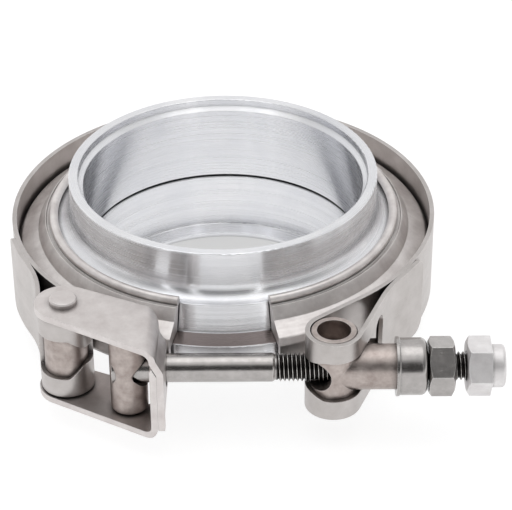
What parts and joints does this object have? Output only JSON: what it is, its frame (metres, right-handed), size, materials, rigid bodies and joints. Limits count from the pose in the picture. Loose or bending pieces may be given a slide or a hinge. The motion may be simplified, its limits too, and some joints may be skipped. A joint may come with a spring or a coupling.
{
  "type": "v band clamp",
  "caption": "V band clamp with T-bolt latch, closed round a pair of machined weld flanges that it draws together face to face to join two tubes.",
  "frame": {"origin": "ring's axis in the plane where the two flanges meet", "axes": "+Z along the ring's axis towards the upper weld neck; the T-bolt lies along X on the -Y side, its nuts towards +X"},
  "size_m": [0.1078, 0.1074, 0.0363],
  "materials": {
    "machined_aluminium": "fine turned, bright",
    "stainless_sheet": "satin rolled",
    "stainless_turned": "turned and tumbled",
    "stainless_bright": "bright drawn",
    "seal_rubber": "matte",
    "nylon_insert": "matte"
  },
  "bodies": {
    "ring": {"upper_flange": "machined_aluminium", "lower_flange": "machined_aluminium", "seal_ring": "seal_rubber", "retainer_right": "stainless_sheet", "retainer_left": "stainless_sheet", "strap": "stainless_sheet"},
    "sleeve": {"pivot_sleeve": "stainless_turned"},
    "bracket": {"bracket_upper": "stainless_sheet", "bracket_lower": "stainless_sheet", "pivot_rivet": "stainless_turned"},
    "trunnion": {"trunnion": "stainless_turned", "thrust_collar": "stainless_bright"},
    "t_bolt": {"t_bolt": "stainless_bright", "t_bolt_barrel": "stainless_turned"},
    "nut": {"hex_nut": "stainless_bright"},
    "lock_nut": {"lock_nut_body": "stainless_bright", "lock_nut_insert": "nylon_insert"}
  },
  "joints": [
    {"name": "sleeve_turn", "type": "hinge", "parent": "ring", "child": "sleeve", "pos_m": [-0.03351, -0.04094, 0], "axis": [0, 0, 1], "continuous": true},
    {"name": "bracket_swing", "type": "hinge", "parent": "ring", "child": "bracket", "pos_m": [-0.03351, -0.04094, 0], "axis": [0, 0, -1], "range_deg": [0, 110]},
    {"name": "trunnion_swing", "type": "hinge", "parent": "ring", "child": "trunnion", "pos_m": [0.02357, -0.0492, 0], "axis": [0, 0, 1], "range_deg": [-0.3, 1.2]},
    {"name": "nut_spin", "type": "hinge", "parent": "trunnion", "child": "nut", "pos_m": [0.0463, -0.0492, 0], "axis": [1, 0, 0], "range_deg": [0, 900]},
    {"name": "bolt_slide", "type": "slide", "parent": "trunnion", "child": "t_bolt", "axis": [-1, 0, 0], "range_m": [0, 0.00227]},
    {"name": "lock_nut_spin", "type": "hinge", "parent": "t_bolt", "child": "lock_nut", "pos_m": [0.0542, -0.0492, 0], "axis": [1, 0, 0], "range_deg": [-180, 180]}
  ],
  "couplings": [
    {"joint": "nut_spin", "follows": "bolt_slide", "rad_per_m": 6926.2}
  ]
}
